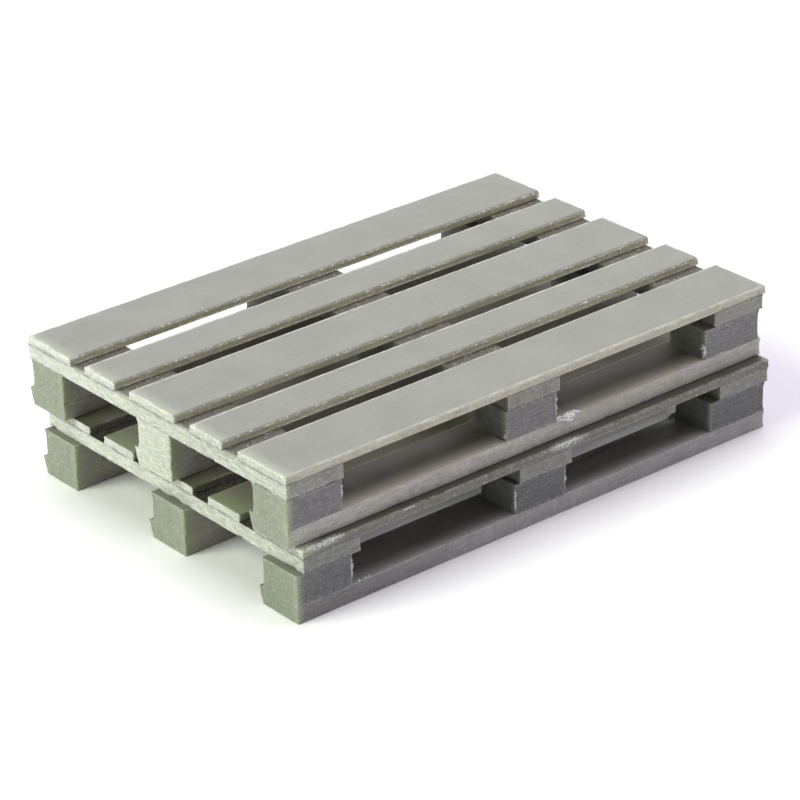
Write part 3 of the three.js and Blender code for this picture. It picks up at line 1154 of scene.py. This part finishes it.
# Torn lips on the lower deck's front edge: from and to places from its left end and height
# in millimetres, and seed.
LIPS = ((8, 100, 6.0, 61), (600, 672, 6.0, 62), (232, 262, 3.0, 63))

BURR_INSET = 2 * MM


def upright_burr(low, high, right, start, end, reach, seed):
    """A burr on a front upright edge, between two heights above the piece's foot."""
    way = 1 if right else -1
    x = high[0] - BURR_INSET if right else low[0] + BURR_INSET
    y = low[1] + BURR_INSET
    outward, sideways = (0.99 * way, -0.08, 0), (0.08 * way, 0.99, 0)
    return burr((x, y, low[2] + start), (x, y, low[2] + end), outward, sideways, reach, seed)


def ledge_burr(low, high, start, end, reach, seed):
    """A burr on the front top edge, between two distances from the piece's left end."""
    y, z = low[1] + BURR_INSET / 1.4, high[2] - BURR_INSET / 2
    outward, sideways = (0, -0.03, 0.99), (0, 0.99, 0.03)
    return burr((low[0] + start, y, z), (low[0] + end, y, z), outward, sideways, reach, seed)


def burrs_on(node, strips, turn, name="burrs"):
    """One object with burrs of one piece, which stands for it together with the piece."""
    dressed(burr_object(f"{node}_{name}", strips, turn), node, "torn")


def front_burrs(turns):
    """The torn edges along the front of both pallets."""
    for prefix, row, column, right, start, end, reach, seed in UPRIGHT_BURRS:
        node = f"{prefix}_block_{row}_{column}"
        low, high = own_box(node, turns[prefix])
        strip = upright_burr(low, high, right, start * MM, end * MM, reach * MM, seed)
        name = "right_burr" if right else "left_burr"
        burrs_on(node, [strip], turns[prefix], name)
    for prefix in PALLETS:
        node = f"{prefix}_bottom_board_front"
        low, high = own_box(node, turns[prefix])
        strips = []
        for column, length, reach, seed in LEDGE_BURRS[prefix]:
            block_high = own_box(f"{prefix}_block_front_{column}", turns[prefix])[1]
            start = block_high[0] - low[0] - BURR_INSET
            strips.append(ledge_burr(low, high, start, start + length * MM, reach * MM, seed))
        if prefix == "upper":
            strips += foot_shavings(low, high, turns[prefix])
        burrs_on(node, strips, turns[prefix])


def foot_shavings(low, high, turn):
    """Two slivers rolled up together at the foot of the upper middle block."""
    x, y, z = own_box("upper_block_front_middle", turn)[1][0], low[1], high[2]
    first = shaving(
        start=(x - 6 * MM, y + 3 * MM, z + 4 * MM), end=(x + 60 * MM, y + 2 * MM, z - 3 * MM),
        width=19 * MM, thickness=2 * MM, lift=4 * MM, tilt=1.0, seed=77,
    )
    second = shaving(
        start=(x - 2 * MM, y - 1 * MM, z + 1 * MM), end=(x + 40 * MM, y - 2 * MM, z - 8 * MM),
        width=10 * MM, thickness=2 * MM, lift=5 * MM, tilt=0.6, seed=91,
    )
    return [first, second]


def lip_burrs(turn):
    """Lips of torn plastic along the front top edge of the lower deck, at its torn patches."""
    node = "lower_deck_board_front"
    low, high = own_box(node, turn)
    strips = [
        ledge_burr(low, high, start * MM, end * MM, reach * MM, seed)
        for start, end, reach, seed in LIPS
    ]
    burrs_on(node, strips, turn)


def screw(prefix, row, column):
    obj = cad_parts[f"{prefix}_coach_screw_{row}_{column}"]
    obj.data.materials.clear()
    obj.data.materials.append(MATERIALS["screw"])


def pallet(prefix, turn, first_seed):
    """Every piece of one pallet, each with a seed of its own."""
    left_end = own_box(f"{prefix}_bottom_board_centre", turn)[0][0]
    seeds = itertools.count(first_seed, 100)
    for row in DECK_ROWS:
        deck_board(prefix, row, turn, left_end, next(seeds))
    for column in COLUMNS:
        stringer(prefix, column, turn, left_end, next(seeds))
    for row in ROWS:
        bottom_board(prefix, row, turn, left_end, next(seeds))
        for column in COLUMNS:
            block(prefix, row, column, turn, left_end, next(seeds))
            screw(prefix, row, column)


TURNS = {prefix: turn_of(f"{prefix}_deck_board_centre") for prefix in PALLETS}
for prefix, first_seed in (("lower", 1000), ("upper", 5000)):
    pallet(prefix, TURNS[prefix], first_seed)
front_burrs(TURNS)
lip_burrs(TURNS["lower"])

# ---------- studio

FLOOR_SIZE = 30.0
FLOOR_GREY = (0.85, 0.85, 0.85, 1)
FLOOR_AS_SEEN = (1.25, 1.25, 1.25, 1)
AMBIENT = 0.16

# Wide lamps: name, azimuth, elevation and width in degrees, level and colour.
LAMPS = (
    ("left_key", -106, 38, 35, 0.62, (0.94, 1.0, 0.84)),
    ("overhead", 125, 68, 60, 0.48, (1.05, 0.98, 1.17)),
    ("right_fill", 40, 30, 60, 0.06, (0.95, 0.93, 1.0)),
)

# The photograph's view.
CAMERA_AZIMUTH, CAMERA_ELEVATION, CAMERA_ROLL = -38.964, 26.27, -1.516
CAMERA_AIM = Vector((-0.01613, -0.00316, 0.10500))
CAMERA_DISTANCE = 6.5678
CAMERA_LENS, CAMERA_SENSOR = 151.06, 36
CAMERA_FAR_END = 100


def floor():
    """White paper, lighter to the camera than to the light that falls on it."""
    mesh = bpy.data.meshes.new("floor")
    half = FLOOR_SIZE / 2
    corners = [(-half, -half, 0), (half, -half, 0), (half, half, 0), (-half, half, 0)]
    mesh.from_pydata(corners, [], [(0, 1, 2, 3)])
    material, tree = new_material("floor_paper")
    seen = add(tree, "ShaderNodeLightPath").outputs["Is Camera Ray"]
    colour = mixed(tree, seen, FLOOR_GREY, FLOOR_AS_SEEN)
    finished(tree, {"Color": colour}, "ShaderNodeBsdfDiffuse")
    mesh.materials.append(material)
    obj = linked("floor", mesh)


def white_surroundings(level):
    """Plain dim light from all round, and white where the camera or a reflection looks."""
    world = bpy.data.worlds.new("surroundings")
    bpy.context.scene.world = world
    world.use_nodes = True
    tree = world.node_tree
    tree.nodes.clear()
    path = add(tree, "ShaderNodeLightPath").outputs
    seen = maths(tree, "MAXIMUM", path["Is Camera Ray"], path["Is Glossy Ray"])
    seen = maths(tree, "MAXIMUM", seen, path["Is Transmission Ray"])
    plain = add(tree, "ShaderNodeBackground", {"Color": (1, 1, 1, 1), "Strength": level})
    white = add(tree, "ShaderNodeBackground", {"Color": (1, 1, 1, 1), "Strength": 1.0})
    both = add(tree, "ShaderNodeMixShader", {0: seen, 1: plain.outputs[0], 2: white.outputs[0]})
    add(tree, "ShaderNodeOutputWorld", {"Surface": both.outputs[0]})


def direction(azimuth, elevation):
    """From the middle towards a lamp or camera. Azimuth 0 is in front, 90 on the right."""
    a, e = math.radians(azimuth), math.radians(elevation)
    return Vector((math.sin(a) * math.cos(e), -math.cos(a) * math.cos(e), math.sin(e)))


def soft_light(name, azimuth, elevation, spread, level, colour):
    """A wide, even light from one direction. level is what it adds to a white surface that
    faces it, and spread is how wide it looks, in degrees."""
    data = bpy.data.lights.new(name, "SUN")
    data.energy = level * math.pi
    data.angle = math.radians(spread)
    data.color = colour
    beam = -direction(azimuth, elevation)
    linked(name, data).rotation_euler = beam.to_track_quat("-Z", "Y").to_euler()


def camera():
    data = bpy.data.cameras.new("camera")
    data.lens = CAMERA_LENS
    data.sensor_width = CAMERA_SENSOR
    data.clip_end = CAMERA_FAR_END
    azimuth, roll = math.radians(CAMERA_AZIMUTH), math.radians(CAMERA_ROLL)
    back = direction(CAMERA_AZIMUTH, CAMERA_ELEVATION)
    level_right = Vector((math.cos(azimuth), math.sin(azimuth), 0))
    level_up = back.cross(level_right)
    right = math.cos(roll) * level_right + math.sin(roll) * level_up
    turn = Matrix((right, back.cross(right), back)).transposed().to_4x4()
    obj = linked("camera", data)
    obj.matrix_world = Matrix.Translation(CAMERA_AIM + back * CAMERA_DISTANCE) @ turn
    bpy.context.scene.camera = obj


floor()
white_surroundings(AMBIENT)
for lamp in LAMPS:
    soft_light(*lamp)
camera()
bpy.context.scene.view_settings.view_transform = "Standard"
